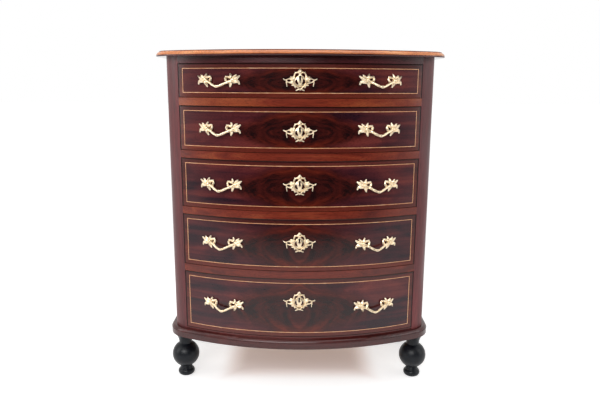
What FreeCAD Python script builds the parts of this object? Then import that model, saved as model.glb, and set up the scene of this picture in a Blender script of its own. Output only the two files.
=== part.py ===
import FreeCAD, Part
import os
from math import asin, cos, degrees, pi, radians, sin, sqrt

# Bow front chest of five drawers. Millimetres, Z up, front towards -Y, X to the right seen from the
# front. The origin is on the floor under the middle of the top board.

os.makedirs("parts", exist_ok=True)
V = FreeCAD.Vector

# Plan of the body, seen from above
BODY_WIDTH = 900.0
BODY_DEPTH = 487.0          # middle of the bow to the outside of the back
BOW_RADIUS = 949.0
CORNER_RADIUS = 70.0        # round front corners
STILE_WIDTH = 49.0          # from the drawer opening to the outer side
STILE_FLAT = 10.0           # straight stretch of the stile's outer face behind the round corner
SIDE_THICKNESS = 20.0
BACK_THICKNESS = 10.0
BACK_REBATE = 10.0          # width of the step in each side that takes the back boards
BACK_BOARD_COUNT = 5
BACK_BOARD_GAP = 0.6
BACK_TONGUE = 6.0
BACK_TONGUE_THICKNESS = 4.0
BACK_VEE = 2.2              # half the width of the V along each joint

# Heights, from the base rail up; drawers are counted from the top
PLINTH_HEIGHT = 30.0
BASE_REVEAL = 8.0           # base rail seen between the plinth and the lowest drawer
DRAWER_HEIGHTS = (106.5, 145.0, 164.0, 175.5, 206.0)
RAIL_HEIGHT = 25.5
TOP_RAIL_HEIGHT = 22.0
TOP_THICKNESS = 18.0
BOTTOM_THICKNESS = 18.0
DRAWER_GAP = 1.5            # seen all round each drawer front

# Top board edge
TOP_OVERHANG = 33.0         # at the front and the sides
TOP_BACK_OVERHANG = 10.0
TOP_EDGE_WIDTH = 14.0       # depth of the moulded strip
TOP_ARRIS = 2.0             # small rounding under the nose
TOP_NOSE = 4.0              # upright stretch of the nose
TOP_SETBACK = 9.0           # nose to the top of the round
TOP_STEP = 1.0              # step behind the round
TOP_STEP_HEIGHT = 2.5
TOP_BULGE = 1.5             # how far the round stands out from its chord

# Plinth moulding
PLINTH_PROJECTION = 18.0
PLINTH_BAND = 20.0          # flat lower band
PLINTH_STEP = 1.5
PLINTH_STEP_HEIGHT = 2.0
PLINTH_LEDGE = 5.0          # flat top of the moulding beside the body
PLINTH_BULGE = 2.6
GLUE_GAP = 0.2              # glue line under curved pieces

# Joints of the frame
TENON_LENGTH = 14.0
TENON_WIDTH = 24.0
TENON_THICKNESS = 9.0
TENON_INSET = 38.0          # from the back of the rail
TONGUE = 8.0                # side panel into stile
TONGUE_LENGTH = 7.0
HOUSING = 6.0               # bottom board into each side
REAR_RAIL_DEPTH = 50.0

# Runners, guides, kickers and stops
RUNNER_BEARING = 35.0       # how far a runner reaches in under the drawer
RUNNER_THICKNESS = 18.0
RUNNER_STUB = 10.0          # stub tenon into the rail
RUNNER_STUB_THICKNESS = 8.0
RUNNER_STUB_MARGIN = 5.0
GUIDE_HEIGHT = 24.0
STOP_OFFSET = 220.0
STOP_WIDTH = 40.0
STOP_DEPTH = 12.0
STOP_HEIGHT = 6.0
STOP_CLEARANCE = 0.3

# Drawers
FRONT_THICKNESS = 22.0
FRONT_END_THICKNESS = 26.0  # front to back at the dovetailed ends
FRONT_SHOULDER = 18.0       # width of the flat end behind the front
FRONT_EDGE_BREAK = 0.6      # small bevel round the face of each front
DRAWER_SIDE_THICKNESS = 12.0
DRAWER_BACK_THICKNESS = 11.0
DRAWER_REAR_CLEARANCE = 8.0
RUN_CLEARANCE = 0.2         # drawer side above its runner
SIDE_TOP_DROP = 4.0         # drawer side below the top of the front
BACK_TOP_DROP = 8.0         # drawer back below the sides
PANEL_THICKNESS = 6.0
PANEL_RAISE = 10.0          # drawer bottom above the lower edge of the front
PANEL_GROOVE = 5.0
PANEL_CLEARANCE = 0.3
TAIL_LENGTH = 13.0          # dovetails let into the front
TAIL_PITCH = 40.0
PIN_WIDTH = 6.0
DOVETAIL_SLOPE = 1.0 / 7.0
STRING_INSET = 14.0
STRING_WIDTH = 1.9
STRING_DEPTH = 1.5

# Locks
ESCUTCHEON_DROPS = (45.0, 70.0, 70.0, 70.0, 72.0)   # keyhole below the top of each front
LOCK_WIDTH = 60.0
LOCK_THICKNESS = 10.0
LOCK_BELOW_KEY = 20.0
BOLT_WIDTH = 20.0
BOLT_THICKNESS = 5.0
BOLT_LENGTH = 26.0
BOLT_CLEARANCE = 0.3
BOLT_THROW = 9.0
STRIKE_CLEARANCE = 1.5
STRIKE_SPARE = 3.0
KEYHOLE_RADIUS = 2.6
KEYHOLE_SLOT = 3.2
KEYHOLE_HEIGHT = 16.0
KEY_DEPTH = 6.0             # keyhole into the lock case

# Key plates, placed from the keyhole: across, up
PLATE_BOSSES = ((0.0, -11.0, 15.0, 5.0), (0.0, 4.0, 11.0, 4.5))   # across, up, radius, height
PLATE_EDGE = 2.0
CRESCENT_CENTRE = -11.0
CRESCENT_OUTER = 11.5
CRESCENT_INNER = 8.6
CRESCENT_APART = 13.0
PLATE_MIDDLE_LEAVES = (     # base, tip, width, height
    ((0.0, 10.0), (0.0, 29.0), 9.0, 4.5),
    ((0.0, -22.0), (0.0, -36.0), 7.0, 4.0),
)
PLATE_SIDE_LEAVES = (       # right-hand ones, mirrored for the left
    ((2.0, 11.0), (14.5, 17.0), 6.5, 4.0),
    ((7.0, -5.0), (31.0, 7.0), 10.0, 5.0),
    ((8.0, -9.0), (41.0, -5.0), 10.0, 5.0),
    ((8.0, -14.0), (28.0, -20.5), 9.0, 4.5),
    ((33.0, -8.0), (54.0, -2.0), 7.0, 4.0),
    ((36.0, -5.0), (51.0, -12.0), 6.0, 4.0),
    ((36.0, -3.0), (41.0, -24.0), 6.0, 4.0),
    ((8.0, -20.0), (18.0, -30.0), 6.5, 4.0),
    ((1.0, -22.0), (15.0, -39.0), 7.0, 4.0),
)

# Pulls
PULL_OFFSET = 258.0         # middle of a pull from the middle of the drawer
PULL_SPACING = 93.0         # between the two rosettes, along the bow
PULL_RISE = 2.0             # rosettes above the middle of the drawer
ROSETTE_RADIUS = 10.0
ROSETTE_HEIGHT = 10.0
ROSETTE_LEAVES = (          # angle, length, width of the left rosette; the right one is its mirror
    (155.0, 30.0, 9.0),
    (128.0, 25.0, 9.0),
    (85.0, 22.0, 9.0),
    (35.0, 20.0, 9.0),
    (215.0, 29.0, 9.5),
    (268.0, 24.0, 9.5),
)
ROSETTE_LEAF_HEIGHT = 7.0
LEAF_EDGE = 1.6             # thickness at the rim of a leaf
LEAF_SINK = 1.0
LEAF_SHOULDER = 0.4         # widest place, as a part of the leaf's length
GRIP_RADIUS = 4.3
GRIP_DROP = 27.0            # lowest place of the grip below the rosettes
GRIP_STANDOFF = 24.0
GRIP_ROOT = 6.0             # how far the grip starts inside a rosette's middle
GRIP_ROOT_OUT = 6.0
GRIP_LEAN = 2.0             # lowest place left of the middle
GRIP_BEND = 24.0
STUD_RADIUS = 2.5
STUD_CLEARANCE = 0.25
STUD_PAST_NUT = 2.0
NUT_RADIUS = 5.5
NUT_THICKNESS = 4.0
NUT_GAP = 0.1
NUT_BORE_CLEARANCE = 0.15

# Feet, from the floor up
FOOT_PAD_RADIUS = 24.0
FOOT_RING_RADIUS = 30.0
FOOT_RING_HEIGHT = 22.0
FOOT_ANKLE_RADIUS = 19.0
FOOT_ANKLE_LENGTH = 13.0
FOOT_BALL_RADIUS = 48.8
FOOT_NECK_RADIUS = 23.0
FOOT_NECK_LENGTH = 36.0
FOOT_COLLAR_RADIUS = 34.0
FOOT_COLLAR_BULGE = 2.5
FOOT_COLLAR_HEIGHT = 14.0
FOOT_COVE = 3.0             # hollow of the flare under the collar
SPIGOT_RADIUS = 12.0
SPIGOT_LENGTH = 18.0
SPIGOT_CLEARANCE = 0.2
FOOT_PROUD = 0.8            # ball of a front foot past the outer edge of the plinth
FRONT_FOOT_SETBACK = 21.0   # front feet from the back of the stile
REAR_FOOT_MARGIN = 4.0      # spigot of a rear foot from the side panel
REAR_FOOT_SETBACK = 1.0     # ball of a rear foot from the outside of the back
BLOCK_LENGTH = 100.0

# Places worked out from the sizes above
SPARE = 1.0                 # how far a cutting tool runs past the face that it opens
half_width = BODY_WIDTH / 2
front_y = TOP_OVERHANG - (TOP_OVERHANG + BODY_DEPTH + TOP_BACK_OVERHANG) / 2
back_y = front_y + BODY_DEPTH
back_face_y = back_y - BACK_THICKNESS
bow_y = front_y + BOW_RADIUS
corner_x = half_width - CORNER_RADIUS
corner_y = bow_y - sqrt((BOW_RADIUS - CORNER_RADIUS) ** 2 - corner_x ** 2)
corner_angle = asin(corner_x / (BOW_RADIUS - CORNER_RADIUS))
frame_back_y = corner_y + STILE_FLAT
opening_half = half_width - STILE_WIDTH
side_face_x = half_width - SIDE_THICKNESS

ball_low = sqrt(FOOT_BALL_RADIUS ** 2 - FOOT_ANKLE_RADIUS ** 2)
ball_high = sqrt(FOOT_BALL_RADIUS ** 2 - FOOT_NECK_RADIUS ** 2)
ball_z = FOOT_RING_HEIGHT + FOOT_ANKLE_LENGTH + ball_low
body_z = ball_z + ball_high + FOOT_NECK_LENGTH + FOOT_COLLAR_HEIGHT
base_z = body_z + PLINTH_HEIGHT + BASE_REVEAL
bottom_z = base_z - BOTTOM_THICKNESS
stack_z = sum(DRAWER_HEIGHTS) + len(DRAWER_HEIGHTS) * (2 * DRAWER_GAP + RAIL_HEIGHT) - RAIL_HEIGHT
top_rail_z = base_z + stack_z
top_z = top_rail_z + TOP_RAIL_HEIGHT

front_half = opening_half - DRAWER_GAP
drawer_side_x = front_half - DRAWER_SIDE_THICKNESS
inner_radius = BOW_RADIUS - FRONT_THICKNESS
front_end_y = bow_y - sqrt(BOW_RADIUS ** 2 - front_half ** 2) + FRONT_END_THICKNESS
drawer_rear_y = back_face_y - DRAWER_REAR_CLEARANCE
lock_y = front_y + FRONT_THICKNESS - LOCK_THICKNESS
bolt_y = lock_y + LOCK_THICKNESS / 2
pull_angle = asin(PULL_OFFSET / BOW_RADIUS)
rosette_angle = PULL_SPACING / 2 / BOW_RADIUS


def box(x0, x1, y0, y1, z0, z1):
    return Part.makeBox(x1 - x0, y1 - y0, z1 - z0, V(x0, y0, z0))


def pair_box(x0, x1, y0, y1, z0, z1):
    """A box on the right and its mirror on the left."""
    return [box(x0, x1, y0, y1, z0, z1), box(-x1, -x0, y0, y1, z0, z1)]


def mirrored(shape):
    return shape.mirror(V(0, 0, 0), V(1, 0, 0))


def joined(shapes):
    return shapes[0].multiFuse(shapes[1:]).removeSplitter()


def line(start, end):
    return Part.LineSegment(start, end).toShape()


def arc(start, middle, end):
    return Part.Arc(start, middle, end).toShape()


def bulged(start, end, bulge):
    """Arc from start to end that stands out to the right of that direction, in the XZ plane."""
    chord = end - start
    side = V(chord.z, 0, -chord.x)
    side.normalize()
    return arc(start, (start + end) * 0.5 + side * bulge, end)


def polar(centre_x, centre_y, radius, angle, z=0.0):
    """Point at an angle from straight ahead, turning to the right."""
    return V(centre_x + radius * sin(angle), centre_y - radius * cos(angle), z)


def prism(edges, z0, z1):
    face = Part.Face(Part.Wire(edges))
    face.translate(V(0, 0, z0))
    return face.extrude(V(0, 0, z1 - z0))


def export(name, shapes):
    Part.makeCompound(shapes).exportStep("parts/" + name + ".step")


def outline(offset, end_y):
    """Edges round the left side, the bow and the right side, moved out from the body by offset."""
    bow = BOW_RADIUS + offset
    corner = CORNER_RADIUS + offset
    right = [
        polar(0, bow_y, bow, corner_angle),
        polar(corner_x, corner_y, corner, (corner_angle + pi / 2) / 2),
        V(half_width + offset, corner_y, 0),
        V(half_width + offset, end_y, 0),
    ]
    left = [V(-p.x, p.y, 0) for p in right]
    return [
        line(left[3], left[2]),
        arc(left[2], left[1], left[0]),
        arc(left[0], polar(0, bow_y, bow, 0), right[0]),
        arc(right[0], right[1], right[2]),
        line(right[2], right[3]),
    ]


def body_prism(offset, end_y, z0, z1):
    edges = outline(offset, end_y)
    ends = [edges[-1].Vertexes[-1].Point, edges[0].Vertexes[0].Point]
    return prism(edges + [line(ends[0], ends[1])], z0, z1)


def swept(profile, offset, end_y):
    """Moulding profile, drawn in the XZ plane with its outside to the left, run round the body."""
    path = Part.Wire(outline(offset, end_y))
    section = Part.Wire(profile)
    section.translate(V(-half_width - offset, end_y, 0))
    return path.makePipeShell([section], True, False)


def bow_strip(radius_in, radius_out, half, z0, z1):
    """Curved strip between two radii of the bow, cut square at each end."""
    ends = [(r, asin(half / r)) for r in (radius_in, radius_out)]
    points = [[polar(0, bow_y, r, a * s) for s in (-1, 0, 1)] for r, a in ends]
    inside, outside = points
    edges = [
        arc(outside[0], outside[1], outside[2]),
        line(outside[2], inside[2]),
        arc(inside[2], inside[1], inside[0]),
        line(inside[0], outside[0]),
    ]
    return prism(edges, z0, z1)


def drawer_levels():
    """Lower and upper edge of each drawer front, top drawer first."""
    levels = []
    z = base_z
    for height in reversed(DRAWER_HEIGHTS):
        levels.insert(0, (z + DRAWER_GAP, z + DRAWER_GAP + height))
        z += height + 2 * DRAWER_GAP + RAIL_HEIGHT
    return levels


levels = drawer_levels()
key_levels = [upper - drop for (lower, upper), drop in zip(levels, ESCUTCHEON_DROPS)]
rail_levels = [lower - DRAWER_GAP for lower, upper in levels]     # top of what each drawer runs on


def top_board():
    """Board with a nosed edge round the front and the sides."""
    nose = TOP_EDGE_WIDTH
    crown_z = TOP_THICKNESS - TOP_STEP_HEIGHT
    points = [
        V(0, 0, 0),
        V(TOP_ARRIS - nose, 0, 0),
        V(-nose, 0, TOP_ARRIS),
        V(-nose, 0, TOP_ARRIS + TOP_NOSE),
        V(TOP_SETBACK - nose, 0, crown_z),
        V(TOP_SETBACK + TOP_STEP - nose, 0, crown_z),
        V(TOP_SETBACK + TOP_STEP - nose, 0, TOP_THICKNESS),
        V(0, 0, TOP_THICKNESS),
    ]
    edges = [line(a, b) for a, b in zip(points, points[1:] + points[:1])]
    edges[3] = bulged(points[4], points[3], TOP_BULGE)
    end_y = back_y + TOP_BACK_OVERHANG
    inset = TOP_OVERHANG - TOP_EDGE_WIDTH
    moulding = swept(edges, inset, end_y)
    board = body_prism(inset, end_y, 0, TOP_THICKNESS)
    whole = joined([board, moulding])
    whole.translate(V(0, 0, top_z))
    return [whole]


def plinth_moulding():
    """Band with a rounded upper edge: a bent front piece and two straight returns."""
    low_z = PLINTH_BAND + PLINTH_STEP_HEIGHT
    points = [
        V(0, 0, 0),
        V(-PLINTH_PROJECTION + GLUE_GAP, 0, 0),
        V(-PLINTH_PROJECTION + GLUE_GAP, 0, PLINTH_BAND),
        V(-PLINTH_PROJECTION + PLINTH_STEP, 0, PLINTH_BAND),
        V(-PLINTH_PROJECTION + PLINTH_STEP, 0, low_z),
        V(-PLINTH_LEDGE, 0, PLINTH_HEIGHT),
        V(0, 0, PLINTH_HEIGHT),
    ]
    edges = [line(a, b) for a, b in zip(points, points[1:] + points[:1])]
    edges[4] = bulged(points[5], points[4], PLINTH_BULGE)
    ring = swept(edges, GLUE_GAP, back_y)
    ring.translate(V(0, 0, body_z))
    reach = half_width + PLINTH_PROJECTION + SPARE
    ahead = box(-reach, reach, front_y - reach, frame_back_y, body_z - SPARE, base_z)
    front = ring.common(ahead)
    returns = ring.cut(ahead)
    return front.Solids + returns.Solids


def frame_tenons(z0, z1):
    """Tenons at the two ends of a front rail."""
    middle = (z0 + z1) / 2
    end_y = frame_back_y - TENON_INSET
    half = TENON_THICKNESS / 2
    return pair_box(opening_half, opening_half + TENON_LENGTH, end_y - TENON_WIDTH, end_y,
                    middle - half, middle + half)


def front_rail_blank(z0, z1):
    room = box(-opening_half, opening_half, front_y - SPARE, frame_back_y, z0, z1)
    rail = body_prism(0, back_y, z0, z1).common(room)
    return joined([rail] + frame_tenons(z0, z1))


def strike(z):
    """Mortise in the underside of a rail, at height z, for the lock bolt below it."""
    half_x = BOLT_WIDTH / 2 + STRIKE_CLEARANCE
    half_y = BOLT_THICKNESS / 2 + STRIKE_CLEARANCE
    depth = BOLT_THROW + STRIKE_SPARE
    return box(-half_x, half_x, bolt_y - half_y, bolt_y + half_y, z - SPARE, z + depth)


def runner_stubs(rail_top):
    """Stub tenons of the two runners behind a rail."""
    z = rail_top - RUNNER_THICKNESS / 2
    half = RUNNER_STUB_THICKNESS / 2
    x0 = opening_half - RUNNER_BEARING + RUNNER_STUB_MARGIN
    x1 = opening_half - RUNNER_STUB_MARGIN
    return pair_box(x0, x1, frame_back_y - RUNNER_STUB, frame_back_y, z - half, z + half)


def divider_rails():
    rails = []
    for rail_top in rail_levels[:-1]:
        low = rail_top - RAIL_HEIGHT
        rail = front_rail_blank(low, rail_top)
        rails.append(rail.cut(runner_stubs(rail_top) + [strike(low)]))
    return rails


def top_rails():
    front = front_rail_blank(top_rail_z, top_z).cut(strike(top_rail_z))
    rear = box(-side_face_x, side_face_x, back_face_y - REAR_RAIL_DEPTH, back_face_y, top_rail_z, top_z)
    return [front, rear]


def base_rail():
    return [front_rail_blank(body_z, base_z)]


def foot_places():
    """Middle of each foot: front right, front left, rear right, rear left."""
    plinth_x = half_width + PLINTH_PROJECTION
    front = (plinth_x + FOOT_PROUD - FOOT_BALL_RADIUS, frame_back_y - FRONT_FOOT_SETBACK)
    rear_x = side_face_x - REAR_FOOT_MARGIN - SPIGOT_RADIUS
    rear = (rear_x, back_y - REAR_FOOT_SETBACK - FOOT_BALL_RADIUS)
    return [(x * s, y) for x, y in (front, rear) for s in (1, -1)]


def spigot_holes():
    radius = SPIGOT_RADIUS + SPIGOT_CLEARANCE
    depth = SPIGOT_LENGTH + SPARE
    return [Part.makeCylinder(radius, depth, V(x, y, body_z)) for x, y in foot_places()]


def stiles():
    """Corner posts, mortised for the rails and bored for the front feet."""
    post = body_prism(0, frame_back_y, body_z, top_z)
    room = box(opening_half, half_width, front_y, frame_back_y, body_z, top_z)
    tools = [tongue_strip()] + spigot_holes()
    for z0, z1 in front_rail_heights():
        tools += frame_tenons(z0, z1)
    right = post.common(room).cut(tools)
    return right, mirrored(right)


def front_rail_heights():
    dividers = [(rail_top - RAIL_HEIGHT, rail_top) for rail_top in rail_levels[:-1]]
    return [(body_z, base_z)] + dividers + [(top_rail_z, top_z)]


def tongue_strip():
    """Tongue on the front edge of the right-hand side panel."""
    x = side_face_x + SIDE_THICKNESS / 2
    return box(x - TONGUE / 2, x + TONGUE / 2, frame_back_y - TONGUE_LENGTH, frame_back_y, body_z, top_z)


def side_panels():
    panel = box(side_face_x, half_width, frame_back_y, back_y, body_z, top_z)
    rebate_x = half_width - BACK_REBATE
    rebate = box(side_face_x, rebate_x, back_face_y, back_y, bottom_z, top_z)
    housing = box(side_face_x, side_face_x + HOUSING, frame_back_y, back_face_y, bottom_z, base_z)
    right = joined([panel, tongue_strip()]).cut([rebate, housing])
    return right, mirrored(right)


def back_vee(x):
    """Tool for the V on the outside of a joint between back boards."""
    half = BACK_BOARD_GAP / 2 + BACK_VEE
    corners = [
        V(x - half - SPARE, back_y + SPARE, 0),
        V(x + half + SPARE, back_y + SPARE, 0),
        V(x, back_y - half, 0),
    ]
    edges = [line(a, b) for a, b in zip(corners, corners[1:] + corners[:1])]
    return prism(edges, bottom_z - SPARE, top_z + SPARE)


def back_boards():
    """Tongued and grooved upright boards in the rebates of the sides."""
    reach = half_width - BACK_REBATE
    width = (2 * reach - (BACK_BOARD_COUNT - 1) * BACK_BOARD_GAP) / BACK_BOARD_COUNT
    middle_y = (back_face_y + back_y) / 2
    tongue_half = BACK_TONGUE_THICKNESS / 2
    boards = []
    for k in range(BACK_BOARD_COUNT):
        x0 = -reach + k * (width + BACK_BOARD_GAP)
        board = box(x0, x0 + width, back_face_y, back_y, bottom_z, top_z)
        if k > 0:
            groove = box(x0 - SPARE, x0 + BACK_TONGUE, middle_y - tongue_half, middle_y + tongue_half,
                         bottom_z, top_z)
            board = board.cut([groove, back_vee(x0 - BACK_BOARD_GAP / 2)])
        if k < BACK_BOARD_COUNT - 1:
            tongue = box(x0 + width - SPARE, x0 + width + BACK_TONGUE, middle_y - tongue_half,
                         middle_y + tongue_half, bottom_z, top_z)
            board = joined([board, tongue]).cut(back_vee(x0 + width + BACK_BOARD_GAP / 2))
        boards.append(board)
    return boards


def bottom_board():
    reach = side_face_x + HOUSING
    board = box(-reach, reach, frame_back_y, back_face_y, bottom_z, base_z)
    return [board.cut(spigot_holes())]


def drawer_runners():
    """Runners with guides, guides on the bottom board, and kickers over the top drawer."""
    inner_x = opening_half - RUNNER_BEARING
    pieces = []
    for rail_top in rail_levels[:-1]:
        runners = pair_box(inner_x, side_face_x, frame_back_y, back_face_y,
                           rail_top - RUNNER_THICKNESS, rail_top)
        guides = pair_box(opening_half, side_face_x, frame_back_y, back_face_y,
                          rail_top, rail_top + GUIDE_HEIGHT)
        for runner, guide, stub in zip(runners, guides, runner_stubs(rail_top)):
            pieces.append(joined([runner, guide, stub]))
    pieces += pair_box(opening_half, side_face_x, frame_back_y, back_face_y, base_z, base_z + GUIDE_HEIGHT)
    pieces += pair_box(inner_x, side_face_x, frame_back_y, back_face_y - REAR_RAIL_DEPTH, top_rail_z, top_z)
    return pieces


def drawer_stops():
    outer_x = STOP_OFFSET + STOP_WIDTH / 2
    face_y = bow_y - sqrt(inner_radius ** 2 - outer_x ** 2) + STOP_CLEARANCE
    stops = []
    for rail_top in rail_levels:
        stops += pair_box(outer_x - STOP_WIDTH, outer_x, face_y, face_y + STOP_DEPTH,
                          rail_top, rail_top + STOP_HEIGHT)
    return stops


def turned_foot():
    """Ring, ankle, ball, flared neck and collar, with a spigot on top."""
    neck_z = ball_z + ball_high
    collar_z = body_z - FOOT_COLLAR_HEIGHT
    pad = V(FOOT_PAD_RADIUS, 0, 0)
    ring = V(FOOT_RING_RADIUS, 0, FOOT_RING_HEIGHT / 2)
    ring_top = V(FOOT_PAD_RADIUS, 0, FOOT_RING_HEIGHT)
    ankle = V(FOOT_ANKLE_RADIUS, 0, ball_z - ball_low)
    equator = V(FOOT_BALL_RADIUS, 0, ball_z)
    neck = V(FOOT_NECK_RADIUS, 0, neck_z)
    flare = V(FOOT_COLLAR_RADIUS, 0, collar_z)
    collar = V(FOOT_COLLAR_RADIUS, 0, body_z)
    spigot = V(SPIGOT_RADIUS, 0, body_z)
    tip = V(SPIGOT_RADIUS, 0, body_z + SPIGOT_LENGTH)
    edges = [
        line(V(0, 0, 0), pad),
        arc(pad, ring, ring_top),
        line(ring_top, ankle),
        arc(ankle, equator, neck),
        bulged(flare, neck, FOOT_COVE),
        bulged(collar, flare, -FOOT_COLLAR_BULGE),
        line(collar, spigot),
        line(spigot, tip),
        line(tip, V(0, 0, tip.z)),
        line(V(0, 0, tip.z), V(0, 0, 0)),
    ]
    face = Part.Face(Part.Wire(Part.__sortEdges__(edges)))
    return face.revolve(V(0, 0, 0), V(0, 0, 1), 360)


def feet():
    foot = turned_foot()
    return [foot.translated(V(x, y, 0)) for x, y in foot_places()]


def foot_blocks():
    """Blocks under the bottom board that take the rear feet."""
    blocks = pair_box(side_face_x - BLOCK_LENGTH, side_face_x, back_face_y - BLOCK_LENGTH, back_face_y,
                      body_z, bottom_z)
    return [block.cut(spigot_holes()) for block in blocks]


def dovetails(z0, z1, narrow_y, wide_y, x0, x1):
    """Row of tails that widen from narrow_y to wide_y."""
    count = max(2, round((z1 - z0) / TAIL_PITCH))
    pitch = (z1 - z0) / count
    wide = (pitch - PIN_WIDTH) / 2
    narrow = wide - abs(wide_y - narrow_y) * DOVETAIL_SLOPE
    tails = []
    for k in range(count):
        z = z0 + (k + 0.5) * pitch
        points = [
            V(x0, narrow_y, z - narrow),
            V(x0, wide_y, z - wide),
            V(x0, wide_y, z + wide),
            V(x0, narrow_y, z + narrow),
        ]
        face = Part.Face(Part.makePolygon(points + points[:1]))
        tails.append(face.extrude(V(x1 - x0, 0, 0)))
    return tails


def front_blank(lower, upper):
    """Bowed board of even thickness, with a flat shoulder behind each end for the dovetails."""
    shoulder_x = front_half - FRONT_SHOULDER
    end = asin(front_half / BOW_RADIUS)
    inner = asin(shoulder_x / inner_radius)
    outside = [polar(0, bow_y, BOW_RADIUS, end * s) for s in (-1, 0, 1)]
    inside = [polar(0, bow_y, inner_radius, inner * s) for s in (-1, 0, 1)]
    corners = [V(x, front_end_y, 0) for x in (front_half, shoulder_x, -shoulder_x, -front_half)]
    edges = [
        arc(outside[0], outside[1], outside[2]),
        line(outside[2], corners[0]),
        line(corners[0], corners[1]),
        line(corners[1], inside[2]),
        arc(inside[2], inside[1], inside[0]),
        line(inside[0], corners[2]),
        line(corners[2], corners[3]),
        line(corners[3], outside[0]),
    ]
    blank = prism(edges, lower, upper)
    bow_faces = [f for f in blank.Faces if f.Surface.TypeId == "Part::GeomCylinder"]
    outer_face = max(bow_faces, key=lambda f: f.Surface.Radius)
    return blank.makeChamfer(FRONT_EDGE_BREAK, outer_face.Edges)


def stringing_frame(lower, upper, depth, proud):
    half = front_half - STRING_INSET
    z0 = lower + STRING_INSET
    z1 = upper - STRING_INSET
    w = STRING_WIDTH
    strip = bow_strip(BOW_RADIUS - depth, BOW_RADIUS + proud, half, z0, z1)
    window = bow_strip(BOW_RADIUS - depth - SPARE, BOW_RADIUS + proud + SPARE, half - w, z0 + w, z1 - w)
    return strip.cut(window)


def bottom_panel(lower, clearance, past):
    """Drawer bottom; with no clearance and running past, it is the tool for its own grooves."""
    radius = inner_radius + PANEL_GROOVE - clearance
    reach = drawer_side_x + PANEL_GROOVE - clearance
    angle = asin(reach / radius)
    bow = [polar(0, bow_y, radius, angle * s) for s in (-1, 0, 1)]
    rear = [V(x, drawer_rear_y + past, 0) for x in (reach, -reach)]
    edges = [
        arc(bow[0], bow[1], bow[2]),
        line(bow[2], rear[0]),
        line(rear[0], rear[1]),
        line(rear[1], bow[0]),
    ]
    low = lower + PANEL_RAISE
    return prism(edges, low, low + PANEL_THICKNESS)


def keyhole(z, y0, y1):
    """Round hole with a slot below it, running from y0 to y1, centred on z."""
    round_z = z + KEYHOLE_HEIGHT / 2 - KEYHOLE_RADIUS
    top = Part.makeCylinder(KEYHOLE_RADIUS, y1 - y0, V(0, y0, round_z), V(0, 1, 0))
    half = KEYHOLE_SLOT / 2
    return top.fuse(box(-half, half, y0, y1, z - KEYHOLE_HEIGHT / 2, round_z))


def lock_room(upper, key_z, past):
    """Space of the lock case; running past, it is the tool for its mortise."""
    half = LOCK_WIDTH / 2
    return box(-half, half, lock_y, lock_y + LOCK_THICKNESS + past, key_z - LOCK_BELOW_KEY, upper + past)


def bolt_room(upper, clearance):
    half_x = BOLT_WIDTH / 2 + clearance
    half_y = BOLT_THICKNESS / 2 + clearance
    low = upper - BOLT_LENGTH - BOLT_CLEARANCE
    high = low + BOLT_LENGTH
    return box(-half_x, half_x, bolt_y - half_y, bolt_y + half_y, low - clearance, high + clearance)


def lock_case(upper, key_z):
    case = lock_room(upper, key_z, 0)
    key_room = keyhole(key_z, lock_y - SPARE, lock_y + KEY_DEPTH)
    return [case.cut([bolt_room(upper, BOLT_CLEARANCE), key_room])]


def lock_bolt(upper):
    return [bolt_room(upper, 0)]


def on_bow(across, up, out):
    """Point by its distance along the bow from the middle, its height and its distance out."""
    return polar(0, bow_y, BOW_RADIUS + out, across / BOW_RADIUS, up)


def polyhedron(triangles):
    faces = [Part.Face(Part.makePolygon(list(t) + [t[0]])) for t in triangles]
    solid = Part.Solid(Part.Shell(faces))
    if solid.Volume < 0:
        solid.reverse()
    return solid


def leaf(base, tip, width, height):
    """Cast leaf with a raised rib, lying on the bow; base and tip are (across, up)."""
    run = (tip[0] - base[0], tip[1] - base[1])
    length = sqrt(run[0] ** 2 + run[1] ** 2)
    side = (-run[1] / length * width / 2, run[0] / length * width / 2)
    waist = (base[0] + run[0] * LEAF_SHOULDER, base[1] + run[1] * LEAF_SHOULDER)
    rim = [
        base,
        (waist[0] - side[0], waist[1] - side[1]),
        tip,
        (waist[0] + side[0], waist[1] + side[1]),
    ]
    low = [on_bow(a, u, -LEAF_SINK) for a, u in rim]
    edge = [on_bow(a, u, LEAF_EDGE) for a, u in rim]
    crest = on_bow(waist[0], waist[1], height)
    triangles = [(low[0], low[2], low[1]), (low[0], low[3], low[2])]
    for k in range(len(rim)):
        n = (k + 1) % len(rim)
        triangles += [(low[k], low[n], edge[n]), (low[k], edge[n], edge[k]), (edge[k], edge[n], crest)]
    return polyhedron(triangles)


def boss(radius, edge, height):
    """Domed boss at the middle of the bow, facing forward, at height zero."""
    rise = height - edge
    rim_y = front_y - edge
    dome = (radius ** 2 + rise ** 2) / (2 * rise)
    ball = Part.makeSphere(dome, V(0, rim_y - rise + dome, 0))
    cap = ball.common(box(-dome, dome, rim_y - rise - SPARE, rim_y, -dome, dome))
    rim = Part.makeCylinder(radius, edge + LEAF_SINK, V(0, rim_y, 0), V(0, 1, 0))
    return cap.fuse(rim)


def around_bow(shape, angle, up=0.0):
    """Copy moved round the bow by an angle to the right, and up."""
    moved = shape.copy()
    moved.rotate(V(0, bow_y, 0), V(0, 0, 1), degrees(angle))
    moved.translate(V(0, 0, up))
    return moved


def bow_cylinder(reach):
    """Everything behind the drawer faces, for trimming castings to their seat."""
    return Part.makeCylinder(BOW_RADIUS + GLUE_GAP, 2 * reach, V(0, bow_y, -reach))


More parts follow.
